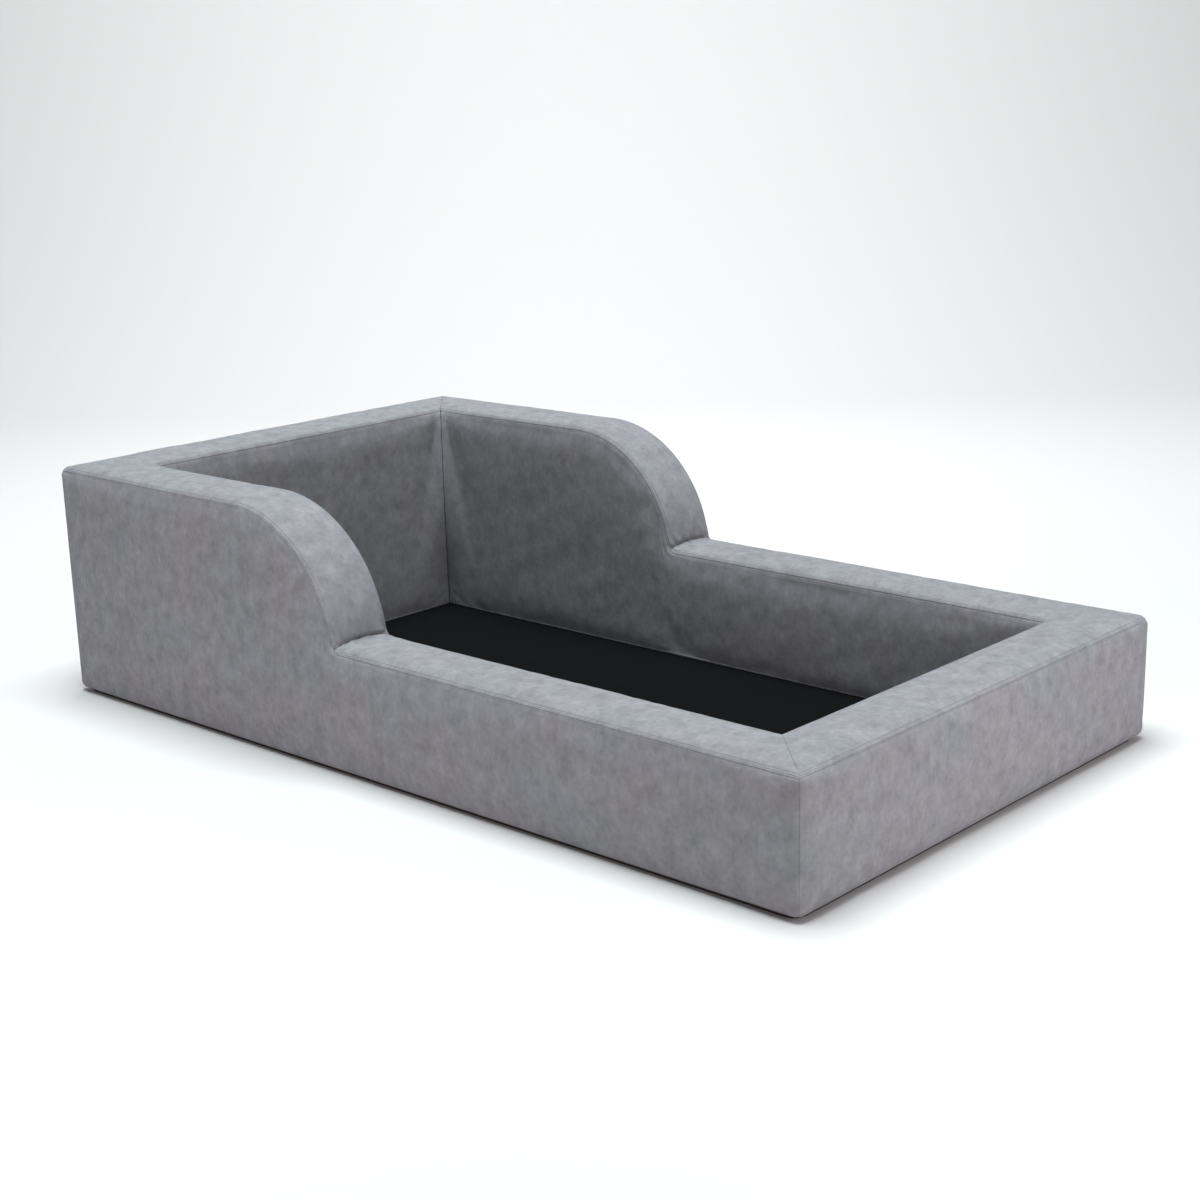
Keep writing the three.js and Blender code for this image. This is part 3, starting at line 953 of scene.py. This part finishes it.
def coil_plastic():
    """Black nylon with a faint drawn grain."""
    material, tree, shader = shader_of("zip_coil", Roughness=0.42)
    grain = noise_on_object(tree, scale=3000, detail=1)
    colour = colours_along(tree, grain, (0.010, 0.010, 0.011), (0.018, 0.018, 0.020))
    tree.links.new(colour, shader.inputs["Base Color"])
    return material


def dark_metal():
    """Dark plated zinc, with small scuffs that change its shine."""
    material, tree, shader = shader_of("zip_metal", Metallic=1.0, Roughness=0.38)
    scuffs = noise_on_object(tree, scale=800, detail=4, stretch=(0.2, 1, 1))
    colour = colours_along(tree, scuffs, (0.040, 0.040, 0.044), (0.085, 0.085, 0.090))
    tree.links.new(colour, shader.inputs["Base Color"])
    raise_nap(tree, shader, [scuffs], strength=0.15, distance=0.0001)
    return material


tape, coil, metal = woven_tape(), coil_plastic(), dark_metal()
for node, finish in (
    ("zip_tape_upper", tape), ("zip_tape_lower", tape), ("zip_stop_left", metal), ("zip_stop_right", metal),
):
    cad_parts[node].data.materials.clear()
    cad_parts[node].data.materials.append(finish)

zip_out = on_zip(0.0, 0.0, 0.001) - on_zip(0.0, 0.0, 0.0)
zip_sideways = on_zip(0.0, 0.001, 0.0) - on_zip(0.0, 0.0, 0.0)
for side, label in ((-1, "upper"), (1, "lower")):
    x = np.arange(chain_low.x + TOOTH_PITCH, chain_high.x, TOOTH_PITCH) + side * TOOTH_PITCH / 4
    middle = side * (TOOTH_LONG / 2 + TEETH_APART)
    centres = on_zip(x, middle, TEETH_OUT)
    teeth = bars(
        f"{label}_zip_teeth", centres, np.broadcast_to(unit(zip_sideways), centres.shape),
        np.broadcast_to(unit(zip_out), centres.shape), TOOTH_LONG, TOOTH_WIDE, TOOTH_HIGH, coil,
    )
    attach(teeth, "bed")
    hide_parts(f"zip_coil_{label}")


def slider_channel(name, material):
    """The slider's body: a channel section over the chain, carried along X from end to end, with its sharp
    edges rounded off."""
    inside, outside = SLIDER_INSIDE, SLIDER_INSIDE + SLIDER_WALL
    low, room_top, top = TAPE_TOP, SLIDER_ROOM_TOP, SLIDER_ROOM_TOP + SLIDER_WALL
    outline = [
        (-outside, low), (-inside, low), (-inside, room_top), (inside, room_top),
        (inside, low), (outside, low), (outside, top), (-outside, top),
    ]
    ends = [np.array([on_zip(x, a, o) for a, o in outline]) for x in (slider_low.x, slider_high.x)]
    count = len(outline)
    sides = [(i, (i + 1) % count, count + (i + 1) % count, count + i) for i in range(count)]
    caps = [tuple(range(count))[::-1], tuple(range(count, 2 * count))]
    mesh = bpy.data.meshes.new(name)
    mesh.from_pydata(np.concatenate(ends).tolist(), [], sides + caps)
    mesh.materials.append(material)
    piece = bpy.data.objects.new(name, mesh)
    bpy.context.scene.collection.objects.link(piece)
    rounding = piece.modifiers.new("worn_edges", "BEVEL")
    rounding.width = SLIDER_WORN
    rounding.segments = 2
    return piece


slider = slider_channel("slider_body", metal)
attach(slider, "zip_slider")
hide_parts("zip_slider")
lug_middle = on_zip(np.array([(slider_low.x + slider_high.x) / 2]), 0.0, LUG_OUT)
lug = bars(
    "slider_lug", lug_middle, np.array([[1.0, 0.0, 0.0]]), unit(zip_out)[None, :],
    long=0.0055, wide=0.0020, high=0.0016, material=metal,
)
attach(lug, "zip_slider")

# ---- Studio -----------------------------------------------------------------------------------------------
# A pale floor that curves up into a backdrop. A large soft light hangs overhead, two low ones stand by the
# foot end and the left side, and one lights the backdrop.

BACKDROP_RADIUS = 1.6
FLOOR_FRONT = -4.5
FLOOR_BACK = 3.2
SWEEP_END = 6.5
SWEEP_HALF_WIDTH = 9
WALL_STRETCH = 4


def sweep_grid(rows, columns):
    """Floor, quarter circle and wall in one surface, square to the camera's direction."""
    towards = Vector((0.71, 0.65)).normalized()
    run = np.linspace(FLOOR_FRONT, SWEEP_END, rows)[:, None]
    turn = np.clip((run - FLOOR_BACK) / BACKDROP_RADIUS, 0, pi / 2)
    beyond = np.clip(run - FLOOR_BACK - BACKDROP_RADIUS * pi / 2, 0, None)
    forward = np.minimum(run, FLOOR_BACK) + BACKDROP_RADIUS * np.sin(turn)
    up = BACKDROP_RADIUS * (1 - np.cos(turn)) + WALL_STRETCH * beyond
    sideways = np.linspace(-SWEEP_HALF_WIDTH, SWEEP_HALF_WIDTH, columns)[None, :]
    x = towards.x * forward - towards.y * sideways
    y = towards.y * forward + towards.x * sideways
    return np.stack(np.broadcast_arrays(x, y, up), axis=-1)


paper, paper_tree, paper_shader = shader_of("studio_paper", Roughness=0.9, Specular_IOR_Level=0.1)
paper_shader.inputs["Base Color"].default_value = (0.73, 0.70, 0.695, 1)
sweep_points = sweep_grid(rows=120, columns=12)
sweep = sheet_mesh("studio_sweep", sweep_points, np.broadcast_to((0, 0, 1.0), sweep_points.shape), paper)


def softbox(name, place, size, power, colour, aim=(0, 0, 0.15)):
    """A square area light that faces a point on the bed."""
    light = bpy.data.lights.new(name, "AREA")
    light.color = colour
    light.shape = "SQUARE"
    light.size = size
    light.energy = power
    lamp = bpy.data.objects.new(name, light)
    lamp.location = place
    lamp.rotation_mode = "QUATERNION"
    lamp.rotation_quaternion = (Vector(aim) - Vector(place)).to_track_quat("-Z", "Y")
    lamp.visible_camera = False
    bpy.context.scene.collection.objects.link(lamp)


softbox(
    "overhead_softbox", (-0.35, -0.05, 5.6), size=3.2, power=440, colour=(0.89, 0.985, 1.0),
)
softbox(
    "foot_softbox", (0.1, -2.1, 0.42), size=1.1, power=13.0, colour=(1.0, 0.985, 1.0),
    aim=(0, -0.8, 0.1),
)
softbox(
    "side_softbox", (-2.2, 0.1, 0.5), size=1.6, power=8, colour=(1.0, 0.955, 0.985),
    aim=(-0.47, 0, 0.1),
)
softbox(
    "backdrop_softbox", (1.3, 1.2, 2.8), size=2.0, power=47, colour=(0.97, 0.985, 1.0),
    aim=(3.4, 3.1, 1.1),
)

world = bpy.data.worlds.new("studio_air")
world.use_nodes = True
world.node_tree.nodes["Background"].inputs["Color"].default_value = (0.97, 0.985, 1.0, 1)
world.node_tree.nodes["Background"].inputs["Strength"].default_value = 0.13
bpy.context.scene.world = world
bpy.context.scene.view_settings.view_transform = "Standard"

lens = bpy.data.cameras.new("camera")
lens.lens = 59.07
lens.sensor_width = 36
camera = bpy.data.objects.new("camera", lens)
camera.location = (-2.3822, -2.2396, 1.0887)
camera.rotation_mode = "QUATERNION"
looking = Vector((0.1056, 0.0456, 0.1729)) - camera.location
camera.rotation_quaternion = looking.to_track_quat("-Z", "Y") @ Quaternion((0, 0, 1), radians(-1.51))
bpy.context.scene.collection.objects.link(camera)
bpy.context.scene.camera = camera
